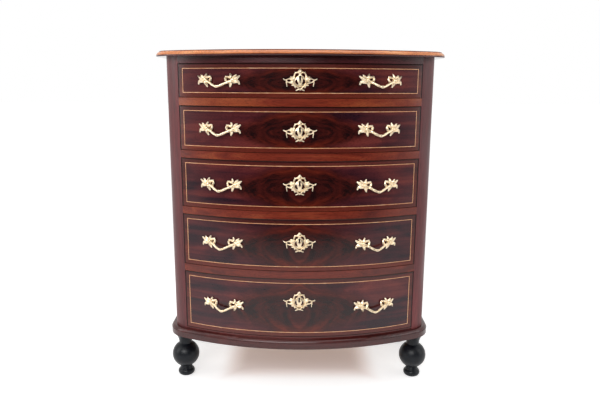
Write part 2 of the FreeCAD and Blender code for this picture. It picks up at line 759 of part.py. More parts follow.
def escutcheon():
    """Pierced key plate, with its keyhole centred on height zero."""
    pieces = []
    for across, up, radius, height in PLATE_BOSSES:
        pieces.append(around_bow(boss(radius, PLATE_EDGE, height), across / BOW_RADIUS, up))
    for base, tip, width, height in PLATE_MIDDLE_LEAVES:
        pieces.append(leaf(base, tip, width, height))
    for base, tip, width, height in PLATE_SIDE_LEAVES:
        for s in (1, -1):
            pieces.append(leaf((base[0] * s, base[1]), (tip[0] * s, tip[1]), width, height))
    whole = joined(pieces)
    out_y = front_y - max(plate[3] for plate in PLATE_BOSSES) - SPARE
    in_y = front_y + LEAF_SINK + SPARE
    middle = V(0, out_y, CRESCENT_CENTRE)
    ring = Part.makeCylinder(CRESCENT_OUTER, in_y - out_y, middle, V(0, 1, 0))
    ring = ring.cut(Part.makeCylinder(CRESCENT_INNER, in_y - out_y, middle, V(0, 1, 0)))
    half = CRESCENT_APART / 2
    bridge = box(-half, half, out_y, in_y, CRESCENT_CENTRE - CRESCENT_OUTER,
                 CRESCENT_CENTRE + CRESCENT_OUTER)
    return whole.cut([bow_cylinder(BODY_WIDTH), ring.cut(bridge), keyhole(0, out_y, in_y)])


def grip():
    """Twig-like rod hanging forward between the rosettes: two straight runs and a bend."""
    reach = PULL_SPACING / 2 - GRIP_ROOT
    ends = [on_bow(s * reach, 0, GRIP_ROOT_OUT) for s in (-1, 1)]
    low = on_bow(-GRIP_LEAN, -GRIP_DROP, GRIP_STANDOFF)
    runs = [end - low for end in ends]
    for run in runs:
        run.normalize()
    half_turn = runs[0].getAngle(runs[1]) / 2
    middle = runs[0] + runs[1]
    middle.normalize()
    tangent = GRIP_BEND * cos(half_turn) / sin(half_turn)
    bend = [low + run * tangent for run in runs]
    crown = low + middle * (GRIP_BEND / sin(half_turn) - GRIP_BEND)
    path = Part.Wire([line(ends[0], bend[0]), arc(bend[0], crown, bend[1]), line(bend[1], ends[1])])
    circle = Part.Wire([Part.Circle(ends[0], runs[0] * -1, GRIP_RADIUS).toShape()])
    return path.makePipeShell([circle], True, False)


def stud():
    depth = FRONT_THICKNESS + NUT_GAP + NUT_THICKNESS + STUD_PAST_NUT
    return Part.makeCylinder(STUD_RADIUS, depth + ROSETTE_HEIGHT / 2, V(0, front_y + depth, 0), V(0, -1, 0))


def nut():
    near_y = front_y + FRONT_THICKNESS + NUT_GAP
    body = Part.makeCylinder(NUT_RADIUS, NUT_THICKNESS, V(0, near_y, 0), V(0, 1, 0))
    bore = Part.makeCylinder(STUD_RADIUS + NUT_BORE_CLEARANCE, NUT_THICKNESS, V(0, near_y, 0), V(0, 1, 0))
    return body.cut(bore)


def pull():
    """One casting: two leaf rosettes, the grip between them and a stud behind each rosette."""
    pieces = [grip()]
    studs = []
    for s in (-1, 1):
        across = s * PULL_SPACING / 2
        pieces.append(around_bow(boss(ROSETTE_RADIUS, LEAF_EDGE, ROSETTE_HEIGHT), s * rosette_angle))
        for angle, length, width in ROSETTE_LEAVES:
            turn = radians(angle)
            tip = (across - s * length * cos(turn), length * sin(turn))
            pieces.append(leaf((across, 0.0), tip, width, ROSETTE_LEAF_HEIGHT))
        studs.append(around_bow(stud(), s * rosette_angle))
    casting = joined(pieces).cut(bow_cylinder(BODY_WIDTH))
    return joined([casting] + studs)


def pull_angles():
    return [pull_angle, -pull_angle]


def stud_angles():
    return [a + s * rosette_angle for a in pull_angles() for s in (-1, 1)]


def stud_holes(up):
    hole = Part.makeCylinder(STUD_RADIUS + STUD_CLEARANCE, FRONT_THICKNESS + 2 * SPARE,
                             V(0, front_y - SPARE, 0), V(0, 1, 0))
    return [around_bow(hole, a, up) for a in stud_angles()]


def drawer(number, casting, plate):
    """Write the pieces of one drawer."""
    lower, upper = levels[number - 1]
    key_z = key_levels[number - 1]
    pull_z = (lower + upper) / 2 + PULL_RISE
    side_top = upper - SIDE_TOP_DROP
    panel_top = lower + PANEL_RAISE + PANEL_THICKNESS
    back_top = side_top - BACK_TOP_DROP
    rear_face = drawer_rear_y - DRAWER_BACK_THICKNESS
    groove = bottom_panel(lower, 0, SPARE)

    tails = dovetails(lower, side_top, front_end_y, front_end_y - TAIL_LENGTH, drawer_side_x, front_half)
    rear_tails = dovetails(panel_top, back_top, rear_face, drawer_rear_y, drawer_side_x, front_half)
    back = box(-front_half, front_half, rear_face, drawer_rear_y, panel_top, back_top)
    back = back.cut(rear_tails + [mirrored(t) for t in rear_tails])
    board = box(drawer_side_x, front_half, front_end_y, drawer_rear_y,
                lower - DRAWER_GAP + RUN_CLEARANCE, side_top)
    side = joined([board] + tails).cut([back, groove])

    front = front_blank(lower, upper)
    tools = tails + [mirrored(t) for t in tails] + stud_holes(pull_z)
    tools += [groove, stringing_frame(lower, upper, STRING_DEPTH + GLUE_GAP, SPARE)]
    tools += [lock_room(upper, key_z, SPARE), keyhole(key_z, front_y - SPARE, lock_y + SPARE)]

    name = "drawer_" + str(number) + "_"
    export(name + "front", [front.cut(tools)])
    export(name + "sides", [side, mirrored(side)])
    export(name + "back", [back])
    export(name + "bottom", [bottom_panel(lower, PANEL_CLEARANCE, 0)])
    export(name + "stringing", [stringing_frame(lower, upper, STRING_DEPTH, 0)])
    pulls = [around_bow(casting, a, pull_z) for a in pull_angles()]
    nuts = [around_bow(nut(), a, pull_z) for a in stud_angles()]
    export(name + "pulls", pulls + nuts)
    export(name + "escutcheon", [plate.translated(V(0, 0, key_z))])
    export(name + "lock", lock_case(upper, key_z))
    export(name + "lock_bolt", lock_bolt(upper))


def carcass():
    """Write the pieces that stand still."""
    right_stile, left_stile = stiles()
    right_side, left_side = side_panels()
    export("right_stile", [right_stile])
    export("left_stile", [left_stile])
    export("right_side", [right_side])
    export("left_side", [left_side])
    export("top_board", top_board())
    export("back_boards", back_boards())
    export("bottom_board", bottom_board())
    export("top_rails", top_rails())
    export("divider_rails", divider_rails())
    export("base_rail", base_rail())
    export("drawer_runners", drawer_runners())
    export("drawer_stops", drawer_stops())
    export("plinth_moulding", plinth_moulding())
    export("feet", feet())
    export("foot_blocks", foot_blocks())


carcass()
casting = pull()
plate = escutcheon()
for number in range(1, len(DRAWER_HEIGHTS) + 1):
    drawer(number, casting, plate)
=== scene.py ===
from math import asin, cos, pi, radians, sin

import bmesh
import bpy
from mathutils import Matrix, Vector


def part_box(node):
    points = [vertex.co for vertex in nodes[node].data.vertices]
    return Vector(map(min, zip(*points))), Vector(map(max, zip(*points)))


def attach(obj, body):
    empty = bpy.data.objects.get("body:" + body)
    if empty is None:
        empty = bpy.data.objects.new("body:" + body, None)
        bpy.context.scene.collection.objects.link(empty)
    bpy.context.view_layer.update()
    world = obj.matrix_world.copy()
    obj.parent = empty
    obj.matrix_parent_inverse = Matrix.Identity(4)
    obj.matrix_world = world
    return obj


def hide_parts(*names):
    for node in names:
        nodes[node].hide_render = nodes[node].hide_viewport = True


# Bow front chest of drawers: its finishes, its cast brass, a studio and a camera. Metres, except
# where a casting's own sizes are in millimetres, as said there.

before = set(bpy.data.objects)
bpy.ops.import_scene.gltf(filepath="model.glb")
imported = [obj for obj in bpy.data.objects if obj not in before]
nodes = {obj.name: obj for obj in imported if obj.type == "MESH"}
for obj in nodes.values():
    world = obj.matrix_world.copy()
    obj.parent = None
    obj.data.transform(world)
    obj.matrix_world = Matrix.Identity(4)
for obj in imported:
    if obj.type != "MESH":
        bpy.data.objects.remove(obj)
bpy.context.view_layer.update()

# Places taken from the solids
DRAWERS = range(1, 6)
BOW_RADIUS = 0.949
PULL_OFFSET = 0.258         # middle of a pull from the middle of its drawer
PULL_RISE = 0.002           # rosettes above the middle of the drawer
PLATE_RISE = 0.029          # top of a key plate above its keyhole
FRONT_THICKNESS = 0.022
STRING_INSET = 0.014
BACK_BOARD = 0.1761         # pitch of the back boards
TOP_LIP = 0.0055            # height of the lower lip of the top board
TOP_STEP_HEIGHT = 0.0025    # of the step above the round of its edge
front_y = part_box("drawer_1_front")[0].y
bow_y = front_y + BOW_RADIUS
pull_angle = asin(PULL_OFFSET / BOW_RADIUS)

# Camera, fitted to the inlaid lines of the drawers in the photograph
PHOTO_WIDTH = 600
FOCAL_PIXELS = 571.8
SENSOR_MM = 36.0
CAMERA_PLACE = Vector((0.0052, -2.059, 1.058))
CAMERA_PITCH = radians(11.396)      # below the horizon
CAMERA_YAW = radians(-0.126)
CAMERA_ROLL = radians(-0.261)

# Sockets of a node that mixes colours
MIX_FACTOR, MIX_A, MIX_B = 0, 6, 7
MIX_RESULT = 2


def linear(code):
    """Linear colour of a hex code as seen on a screen."""
    parts = [int(code[k:k + 2], 16) / 255 for k in (0, 2, 4)]
    curved = [c / 12.92 if c <= 0.04045 else ((c + 0.055) / 1.055) ** 2.4 for c in parts]
    return tuple(curved) + (1.0,)


class Nodes:
    """A tree of shading nodes, with a short call for each kind that is used here."""

    def __init__(self, tree):
        self.tree = tree

    def node(self, kind, inputs=(), **settings):
        made = self.tree.nodes.new("ShaderNode" + kind)
        for name, value in settings.items():
            setattr(made, name, value)
        for socket, value in dict(inputs).items():
            self.put(made.inputs[socket], value)
        return made

    def put(self, socket, value):
        if isinstance(value, bpy.types.NodeSocket):
            self.tree.links.new(value, socket)
        else:
            socket.default_value = value

    def calc(self, operation, a, b=0.0):
        return self.node("Math", {0: a, 1: b}, operation=operation).outputs[0]

    def plus(self, total, *values):
        for value in values:
            total = self.calc("ADD", total, value)
        return total

    def minus(self, a, b):
        return self.calc("SUBTRACT", a, b)

    def times(self, total, *values):
        for value in values:
            total = self.calc("MULTIPLY", total, value)
        return total

    def greater(self, a, b):
        return self.calc("MAXIMUM", a, b)

    def axes(self, vector):
        return self.node("SeparateXYZ", {0: vector}).outputs

    def joined(self, x, y, z):
        return self.node("CombineXYZ", {0: x, 1: y, 2: z}).outputs[0]

    def noise(self, vector, scale=1.0, detail=3.0, distortion=0.0):
        values = {"Vector": vector, "Scale": scale, "Detail": detail, "Distortion": distortion}
        return self.node("TexNoise", values).outputs[0]

    def ranged(self, value, low, high, to_low=0.0, to_high=1.0):
        """Smooth change from to_low to to_high while the value goes from low to high."""
        values = {"Value": value, "From Min": low, "From Max": high}
        values.update({"To Min": to_low, "To Max": to_high})
        return self.node("MapRange", values, interpolation_type="SMOOTHSTEP").outputs[0]

    def past(self, value, place, blend):
        """Change from 0 to 1 where the value goes past a place."""
        return self.ranged(value, place - blend, place + blend)

    def ramp(self, factor, stops):
        made = self.node("ValToRGB", {0: factor})
        points = made.color_ramp.elements
        for k, (position, code) in enumerate(stops):
            point = points[k] if k < len(points) else points.new(position)
            point.position = position
            point.color = linear(code)
        return made.outputs[0]

    def mix(self, factor, a, b, blend="MIX"):
        values = {MIX_FACTOR: factor, MIX_A: a, MIX_B: b}
        made = self.node("Mix", values, data_type="RGBA", blend_type=blend)
        return made.outputs[MIX_RESULT]


class Shader(Nodes):
    """A material and its nodes."""

    def __init__(self, name):
        self.material = bpy.data.materials.new(name)
        self.material.use_nodes = True
        super().__init__(self.material.node_tree)
        self.surface = self.tree.nodes["Principled BSDF"]
        self.place = self.node("TexCoord").outputs["Object"]

    def stretched(self, scale, shift=(0.0, 0.0, 0.0)):
        values = {"Vector": self.place, "Scale": scale, "Location": shift}
        return self.node("Mapping", values).outputs[0]

    def bump(self, height, strength, distance):
        values = {"Height": height, "Strength": strength, "Distance": distance}
        self.put(self.surface.inputs["Normal"], self.node("Bump", values).outputs[0])

    def set(self, **values):
        for name, value in values.items():
            self.put(self.surface.inputs[name.replace("_", " ")], value)


# Woods

WIDE, DEEP, UPRIGHT = range(3)      # axes that a grain can run along
NOISE_SPAN = (0.3, 0.7)             # most of the values that a noise takes
NOISE_MIDDLE = 0.5
# Marks per metre, along the grain and across it
PORES = (22.0, 650.0)
CLOUDS = (2.2, 5.0)
RINGS = (0.9, 26.0)
STREAKS_ALONG = 1.7
STREAKS_ACROSS = 34.0               # of most polished boards
SIDE_STREAKS = 22.0
TOP_STREAKS = 26.0
PORE_SPAN = (0.34, 0.52)            # from a pore to plain wood
STREAK_SHARE = 0.72                 # of the polished figure; the rest is clouds
CLOUD_SHARE = 0.28
POLISHED_SPREAD = (1.0, 0.7, 1.3)   # where a seed moves the figure to, for polished wood
BARE_SPREAD = (1.0, 1.9, 0.4)       # and for bare wood
PORES_POLISHED = 0.42               # how dark the pores are
PORES_VENEER = 0.34
PORES_BARE = 0.3
POLISH_ROUGHNESS = (0.16, 0.27)
BARE_ROUGHNESS = (0.5, 0.68)
STILE_DULLNESS = 2.2                # roughness of the stiles' polish, against the usual one


def along(axis, length, across):
    """Scale of a grain that runs along an axis: marks per metre along it and across it."""
    return tuple(length if k == axis else across for k in range(3))


def spread(seed, shares):
    return tuple(seed * share for share in shares)


def fine_grain(shader, axis):
    """Short dark pores along the grain."""
    pores = shader.noise(shader.stretched(along(axis, *PORES)), detail=2.0)
    return shader.ranged(pores, *PORE_SPAN)


def broad_figure(shader, axis, seed, streaks_across):
    """Streaks along the grain, and the clouds that they run through."""
    shift = spread(seed, POLISHED_SPREAD)
    place = shader.stretched(along(axis, STREAKS_ALONG, streaks_across), shift)
    streaks = shader.noise(place, detail=5.0, distortion=0.7)
    clouds = shader.noise(shader.stretched(along(axis, *CLOUDS), shift), detail=2.0)
    figure = shader.plus(shader.times(streaks, STREAK_SHARE), shader.times(clouds, CLOUD_SHARE))
    return figure, clouds


def french_polish(shader, axis, colour, clouds, dullness=1.0):
    """Pores in the colour, and a soft shine; dullness multiplies its roughness."""
    pores = fine_grain(shader, axis)
    colour = shader.mix(PORES_POLISHED, colour, pores, "MULTIPLY")
    rough = shader.times(shader.ranged(clouds, *NOISE_SPAN, *POLISH_ROUGHNESS), dullness)
    shader.set(Base_Color=colour, Roughness=rough)
    shader.bump(pores, strength=0.05, distance=0.0002)
    return shader.material


def polished_wood(name, axis, stops, seed, streaks_across=STREAKS_ACROSS, dullness=1.0):
    shader = Shader(name)
    figure, clouds = broad_figure(shader, axis, seed, streaks_across)
    return french_polish(shader, axis, shader.ramp(figure, stops), clouds, dullness)


RAIL_SEED = 2.0
# Drawers where the wood of the rails changes: how much paler it is below them and above them
RAIL_TONES = ((2, -0.03, 0.11), (4, -0.09, 0.0))


def rail_wood(stops):
    """Wood of the rails between the drawers, not all from one board."""
    shader = Shader("mahogany_rails")
    figure, clouds = broad_figure(shader, WIDE, RAIL_SEED, STREAKS_ACROSS)
    height = shader.axes(shader.place)[UPRIGHT]
    for number, below, above in RAIL_TONES:
        low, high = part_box("drawer_%d_front" % number)
        figure = shader.plus(figure, shader.ranged(height, low.z, high.z, below, above))
    return french_polish(shader, WIDE, shader.ramp(figure, stops), clouds)


TOP_SEED = 5.0
STEP_BLEND = 0.0004         # half the height of the change of colour at the step of the top's edge
LIP_BLEND = 0.001           # height of the change at its lower lip and at its underside
UNDER_DULLNESS = 0.3        # roughness of the underside's polish, against the usual one


def top_wood(face, edge, under):
    """Wood of the top board: pale on the round of its edge, a painted highlight, and dark on the
    edge's lower lip and below, painted shade.
    """
    shader = Shader("mahogany_top")
    figure, clouds = broad_figure(shader, WIDE, TOP_SEED, TOP_STREAKS)
    low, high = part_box("top_board")
    lip = low.z + TOP_LIP
    step = high.z - TOP_STEP_HEIGHT
    height = shader.axes(shader.place)[UPRIGHT]
    # Painted highlight: below the step, the round of the edge takes the pale wood.
    colour = shader.ramp(figure, edge)
    colour = shader.mix(shader.past(height, step, STEP_BLEND), colour, shader.ramp(figure, face))
    # Painted shade: the edge's lower lip and the underside take the dark wood.
    lower = shader.ranged(height, lip, lip - LIP_BLEND)
    colour = shader.mix(lower, colour, shader.ramp(figure, under))
    dullness = shader.ranged(height, low.z, low.z + LIP_BLEND, UNDER_DULLNESS, 1.0)
    return french_polish(shader, WIDE, colour, clouds, dullness)


RING_SHARE = 0.7            # of the bare wood's figure; the rest is the tone of each board
TONE_SHARE = 0.3
PLAIN_TONE = 0.5
BOARD_RISE = 3.3            # how far the figure moves up from one board to the next
BOARD_TONES = 1.7           # how far the tone moves on


def bare_wood(name, axis, stops, seed, board=0.0):
    """Planed wood inside the chest, with no polish; if a board's width is given, the wood changes
    from board to board."""
    shader = Shader(name)
    tone = PLAIN_TONE
    if board:
        x, y, z = shader.axes(shader.place)
        index = shader.calc("FLOOR", shader.plus(shader.calc("DIVIDE", x, board), 0.5))
        moved_z = shader.plus(z, shader.times(index, BOARD_RISE))
        shader.place = shader.joined(x, shader.plus(y, index), moved_z)
        tone = shader.noise(shader.joined(shader.times(index, BOARD_TONES), seed, 0.0), detail=0.0)
    place = shader.stretched(along(axis, *RINGS), spread(seed, BARE_SPREAD))
    rings = shader.noise(place, detail=4.0, distortion=1.1)
    figure = shader.plus(shader.times(rings, RING_SHARE), shader.times(tone, TONE_SHARE))
    pores = fine_grain(shader, axis)
    colour = shader.mix(PORES_BARE, shader.ramp(figure, stops), pores, "MULTIPLY")
    shader.set(Base_Color=colour, Roughness=shader.ranged(rings, *NOISE_SPAN, *BARE_ROUGHNESS))
    shader.bump(pores, strength=0.12, distance=0.0003)
    return shader.material


# Flame veneer. Its figure is a pointed lens in the middle of a drawer, 1 on its outline
FLAME_REACH = 0.2           # half the length of the lens
FLAME_RISE = 0.74           # half its height, as a share of half the drawer's
FLAME_DROP = 0.1            # its middle below the drawer's, as the same share
FLAME_POINT = 0.03          # how much the points at its ends are rounded
LEAF_CHANGE = 0.021         # how far the figure moves on from one leaf of veneer to the next
DRIFT_MARKS = 7.0           # bends of the outline per metre
DRIFT = 0.8                 # and how far they go
ACROSS_REACH = 1.3          # share of the reach in the direction across the fan
FAN_SLOPE = (-0.6, 0.4, 0.55, 1.0)  # height counts for less low down: from, to, share at each
FRAY = 1.2                  # how far the fingers go past the outline
# Noises on the figure: marks in its first direction, in its second, scale, detail, distortion
BANDS = (4.5, 14.0, 1.0, 4.0, 0.3)
SILK = (11.0, 3.0, 1.0, 3.0, 0.4)
BLOTS = (26.0, 34.0, 1.0, 4.0, 0.8)
FINGERS = (3.2, 0.9, 1.6, 3.0, 0.35)
# How the dark lobes fade: from, to, and the share that shows at each, 0 and 1 if not given
DARK_EDGE = (1.6, 0.85)
DARK_MIDDLE = (0.0, 0.05, 0.3, 1.0)
DARK_TOP = (0.75, 0.05, 0.35, 1.0)
DARK_BOTTOM = (-0.85, -0.4, 0.1, 1.0)
DARK_BANDS = (0.4, 0.62, 1.0, 0.7)
DARK_SILK = (0.4, 0.6, 1.0, 0.75)
DARK_BLOTS = (0.38, 0.62, 1.0, 0.45)
DARK_STRENGTH = 0.97
# And how the red round them does
RED_INSIDE = (0.7, 1.0)
RED_OUTSIDE = (1.5, 1.1)
RED_RISE = (0.2, 0.75)
RED_BANDS = (0.36, 0.6, 0.3, 1.0)
RED_STRENGTH = 0.45
# Plain ends
LEVEL_MARKS = (2.2, 2.2, 45.0)
CLOUD_MARKS = (6.0, 6.0, 12.0)
CLOUD_DEEP = 3.0
CLOUD_CHANGE = 0.4          # how far the clouds move on from one drawer to the next
LEVEL_SHARE = 0.55
END_CLOUD_SHARE = 0.45
END_TONES = (0.0, 0.0, 0.0, -0.06, -0.06)   # how much paler the plain ends of each drawer are
ENDS_FADE = (1.1, 1.9)      # from the figure to the plain ends
# Border, and the other sides of the board
BORDER_BLEND = 0.0005
BORDER_RISE = (-0.9, 0.9)   # from the wood along the bottom to the darker wood along the top, which is painted shade
RIM = (0.0045, 0.0015)      # where the dark painted shadow of the gaps at the top and ends starts, and where it is full, from the edge
RIM_STRENGTH = 0.8
FACE_TURN = (-0.55, -0.45)  # from the face of the board to its other sides
VENEER_ROUGHNESS = (0.15, 0.5)      # of the face, and of the other sides
GROUND_STOPS = ((0.32, "300e0e"), (0.46, "401310"), (0.58, "521a15"), (0.75, "6a281c"))
END_STOPS = ((0.36, "2b111c"), (0.5, "522025"), (0.64, "76332f"))
LOW_BORDER_STOPS = ((0.3, "501a16"), (0.55, "6b2a1f"), (0.75, "843c2a"))
# Darker wood of the border along the top, a painted shade
SHADED_TOP_BORDER_STOPS = ((0.3, "3d1715"), (0.55, "54221e"), (0.75, "6d322c"))
CORE_STOPS = ((0.3, "6a3a22"), (0.7, "8d5533"))


def flame_veneer(number):
    """Two mirrored leaves of flame figure on a drawer's face, plain wood on its other sides."""
    low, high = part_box("drawer_%d_front" % number)
    half = (high.z - low.z) / 2
    shader = Shader("flame_veneer_%d" % number)
    place = shader.axes(shader.place)
    out = shader.calc("ABSOLUTE", place[WIDE])
    up = shader.minus(place[UPRIGHT], (low.z + high.z) / 2)
    rise = shader.calc("DIVIDE", up, half)
    leaf = number * LEAF_CHANGE

    def marks(first, second, kind):
        per_first, per_second, scale, detail, distortion = kind
        at = shader.joined(shader.times(first, per_first), shader.times(second, per_second), leaf)
        return shader.noise(at, scale, detail, distortion)

    # Figure: two soft dark lobes in the lens, with streaks that run down from its top
    bends = shader.noise(shader.joined(out, up, leaf), DRIFT_MARKS, detail=3.0)
    drift = shader.times(shader.minus(bends, NOISE_MIDDLE), DRIFT)
    above = shader.calc("DIVIDE", shader.plus(rise, FLAME_DROP), FLAME_RISE)
    tall = shader.calc("SQRT", shader.plus(shader.calc("POWER", above, 2.0), FLAME_POINT))
    reach = shader.calc("DIVIDE", out, FLAME_REACH)
    lens = shader.plus(tall, reach, drift)
    across = shader.minus(shader.times(reach, ACROSS_REACH), tall)
    slope = shader.times(tall, shader.ranged(above, *FAN_SLOPE))
    fan = shader.plus(slope, reach, drift)
    bands = marks(fan, out, BANDS)
    silk = marks(fan, across, SILK)
    blots = marks(out, up, BLOTS)
    fingers = marks(across, fan, FINGERS)
    frayed = shader.plus(lens, shader.times(shader.minus(fingers, NOISE_MIDDLE), FRAY))
    dark = shader.times(
        shader.ranged(frayed, *DARK_EDGE),
        shader.ranged(out, *DARK_MIDDLE),
        shader.ranged(rise, *DARK_TOP),
        shader.ranged(rise, *DARK_BOTTOM),
        shader.ranged(bands, *DARK_BANDS),
        shader.ranged(silk, *DARK_SILK),
        shader.ranged(blots, *DARK_BLOTS),
    )
    red = shader.times(
        shader.ranged(lens, *RED_INSIDE),
        shader.ranged(lens, *RED_OUTSIDE),
        shader.ranged(shader.calc("ABSOLUTE", rise), *RED_RISE),
        shader.ranged(bands, *RED_BANDS),
    )

    # Plain ends, with level streaks
    streaked = shader.stretched(LEVEL_MARKS, (leaf, 0.0, leaf))
    level = shader.noise(streaked, detail=5.0, distortion=0.4)
    clouded = shader.stretched(CLOUD_MARKS, (leaf, CLOUD_DEEP, number * CLOUD_CHANGE))
    cloud = shader.noise(clouded, detail=3.0, distortion=0.6)
    plain = shader.plus(shader.times(level, LEVEL_SHARE), shader.times(cloud, END_CLOUD_SHARE),
                        END_TONES[number - 1])
    ground = shader.ramp(bands, GROUND_STOPS)
    figure = shader.mix(shader.ranged(lens, *ENDS_FADE), ground, shader.ramp(plain, END_STOPS))
    figure = shader.mix(shader.times(red, RED_STRENGTH), figure, linear("7a2914"))
    figure = shader.mix(shader.times(dark, DARK_STRENGTH), figure, linear("180709"))

    # Border outside the inlaid line, redder along the bottom and darker along the top, which is
    # painted shade from the rail above, with a dark painted shadow of the gaps at the top and ends
    border = shader.mix(shader.ranged(rise, *BORDER_RISE), shader.ramp(level, LOW_BORDER_STOPS),
                        shader.ramp(level, SHADED_TOP_BORDER_STOPS))
    # Painted shadow of the gaps along the top and the ends of the board, in a dark colour
    rim_starts, rim_full = RIM
    painted_gap_shadow = shader.greater(shader.ranged(out, high.x - rim_starts, high.x - rim_full),
                         shader.ranged(up, half - rim_starts, half - rim_full))
    border = shader.mix(shader.times(painted_gap_shadow, RIM_STRENGTH), border, linear("160809"))
    past_ends = shader.past(out, high.x - STRING_INSET, BORDER_BLEND)
    past_line = shader.past(shader.calc("ABSOLUTE", up), half - STRING_INSET, BORDER_BLEND)
    figure = shader.mix(shader.greater(past_ends, past_line), figure, border)

    # Other sides of the board
    facing = shader.axes(shader.node("TexCoord").outputs["Normal"])[DEEP]
    pores = fine_grain(shader, WIDE)
    figure = shader.mix(PORES_VENEER, figure, pores, "MULTIPLY")
    colour = shader.mix(shader.ranged(facing, *FACE_TURN), figure, shader.ramp(level, CORE_STOPS))
    rough = shader.ranged(facing, *FACE_TURN, *VENEER_ROUGHNESS)
    shader.set(Base_Color=colour, Roughness=rough, Specular_IOR_Level=0.4)
    shader.bump(pores, strength=0.04, distance=0.0002)
    return shader.material


BOXWOOD_MARKS = (40.0, 40.0, 40.0)
BOXWOOD_ROUGHNESS = (0.2, 0.3)


def boxwood():
    shader = Shader("boxwood")
    grain = shader.noise(shader.stretched(BOXWOOD_MARKS), detail=4.0)
    colour = shader.ramp(grain, ((0.3, "de996b"), (0.55, "f4b585"), (0.75, "fdcb9f")))
    shader.set(Base_Color=colour, Roughness=shader.ranged(grain, *NOISE_SPAN, *BOXWOOD_ROUGHNESS))
    return shader.material


EBONY_GRAIN = (190.0, 190.0, 9.0)
EBONY_SPAN = (0.3, 0.75)
EBONY_ROUGHNESS = (0.28, 0.42)


def ebonised():
    """Black polish with a little wear and dust."""
    shader = Shader("ebonised")
    clouds = shader.noise(shader.place, scale=38.0, detail=4.0)
    grain = shader.noise(shader.stretched(EBONY_GRAIN), detail=3.0)
    colour = shader.ramp(clouds, ((0.35, "0c0e13"), (0.6, "13161c"), (0.8, "1f232a")))
    rough = shader.ranged(clouds, *EBONY_SPAN, *EBONY_ROUGHNESS)
    shader.set(Base_Color=colour, Roughness=rough, Specular_IOR_Level=0.25)
    shader.bump(grain, strength=0.05, distance=0.0004)
    return shader.material


# Metals

BRASS_WEAR = 0.06           # how much the wear varies from place to place
BRASS_ROUGHNESS = (0.26, 0.4)
IRON_SCRATCHES = (30.0, 600.0, 600.0)
IRON_ROUGHNESS = (0.35, 0.55)


def brass():
    """Lacquered casting: pale on its raised parts through wear, and brown in the hollows, partly
    patina and partly painted shade.
    """
    shader = Shader("brass")
    pits = shader.noise(shader.place, scale=420.0, detail=3.0)
    clouds = shader.noise(shader.place, scale=70.0, detail=3.0)
    # Pointiness: the hollows darker, partly patina and partly painted shade; raised parts paler.
    hollow = shader.node("NewGeometry").outputs["Pointiness"]
    wear_and_painted_shade = shader.plus(hollow, shader.times(shader.minus(clouds, NOISE_MIDDLE), BRASS_WEAR))
    colour = shader.ramp(wear_and_painted_shade, ((0.42, "8c6838"), (0.48, "e0c192"), (0.55, "f9ead1")))
    rough = shader.ranged(clouds, *NOISE_SPAN, *BRASS_ROUGHNESS)
    shader.set(Base_Color=colour, Metallic=1.0, Roughness=rough)
    shader.bump(pits, strength=0.12, distance=0.0003)
    return shader.material


def lock_iron():
    shader = Shader("lock_iron")
    clouds = shader.noise(shader.place, scale=90.0, detail=4.0)
    scratches = shader.noise(shader.stretched(IRON_SCRATCHES), detail=2.0)
    colour = shader.ramp(clouds, ((0.35, "3b3836"), (0.6, "56524e"), (0.78, "6b5f52")))
    rough = shader.ranged(clouds, *NOISE_SPAN, *IRON_ROUGHNESS)
    shader.set(Base_Color=colour, Metallic=1.0, Roughness=rough)
    shader.bump(scratches, strength=0.1, distance=0.0002)
    return shader.material


# Brass castings, worked in millimetres: across to the right, up, and out from the drawer's face

MM_PER_M = 1000
ROUND_SIDES = 10
# Outlines across a stroke, in half widths and half thicknesses
LEAF_SECTION = (
    (-1.0, 0.0), (-0.45, 0.45), (0.0, 1.0), (0.45, 0.45), (1.0, 0.0), (0.5, -0.6), (-0.5, -0.6),
)
ROUND_SECTION = tuple((cos(k * pi / (ROUND_SIDES / 2)), sin(k * pi / (ROUND_SIDES / 2)))
                      for k in range(ROUND_SIDES))
SEAT = 0.25                 # a casting's back from the drawer's face
PATH_STEPS = 7
DOME_AROUND = 24
DOME_UP = 14
THROUGH = 30.0              # half the length of a piercing tool
SOFTEN_FACTOR = 0.5
SOFTEN_TIMES = 3
SHARP_EDGE = radians(50)
SHORT_EDGE = 0.02           # shorter ones, left by the piercing, are closed up


def curve(p, q, r, s, t):
    """Value between q and r on a smooth curve through four values in a row."""
    return 0.5 * (2 * q + (r - p) * t + (2 * p - 5 * q + 4 * r - s) * t ** 2
                  + (3 * q - p - 3 * r + s) * t ** 3)


def run_through(stops):
    """Rows of numbers on a smooth curve through the given rows."""
    rows = [stops[0]] + list(stops) + [stops[-1]]
    path = []
    for four in zip(rows, rows[1:], rows[2:], rows[3:]):
        for k in range(PATH_STEPS):
            path.append([curve(*values, k / PATH_STEPS) for values in zip(*four)])
    path.append(list(stops[-1]))
    return path


def stroke(bm, stops, section=LEAF_SECTION):
    """Closed bar along stops of (across, up, out, half width, half thickness)."""
    path = run_through(stops)
    places = [Vector(row[:3]) for row in path]
    rings = []
    for k, (place, row) in enumerate(zip(places, path)):
        ahead = places[min(k + 1, len(places) - 1)] - places[max(k - 1, 0)]
        side = ahead.cross(Vector((0, 0, 1))).normalized()
        out = side.cross(ahead).normalized()
        half_width, half_thickness = row[3:]
        rings.append([bm.verts.new(place + side * (a * half_width) + out * (b * half_thickness))
                      for a, b in section])
    for near, far in zip(rings, rings[1:]):
        for k in range(len(section)):
            n = (k + 1) % len(section)
            bm.faces.new((near[k], near[n], far[n], far[k]))
    bm.faces.new(reversed(rings[0]))
    bm.faces.new(rings[-1])


def dome(bm, across, up, half_width, half_height, rise, out=0.0):
    size = Matrix.Diagonal((half_width, half_height, rise, 1.0))
    bmesh.ops.create_uvsphere(bm, u_segments=DOME_AROUND, v_segments=DOME_UP, radius=1.0,
                              matrix=Matrix.Translation((across, up, out)) @ size)


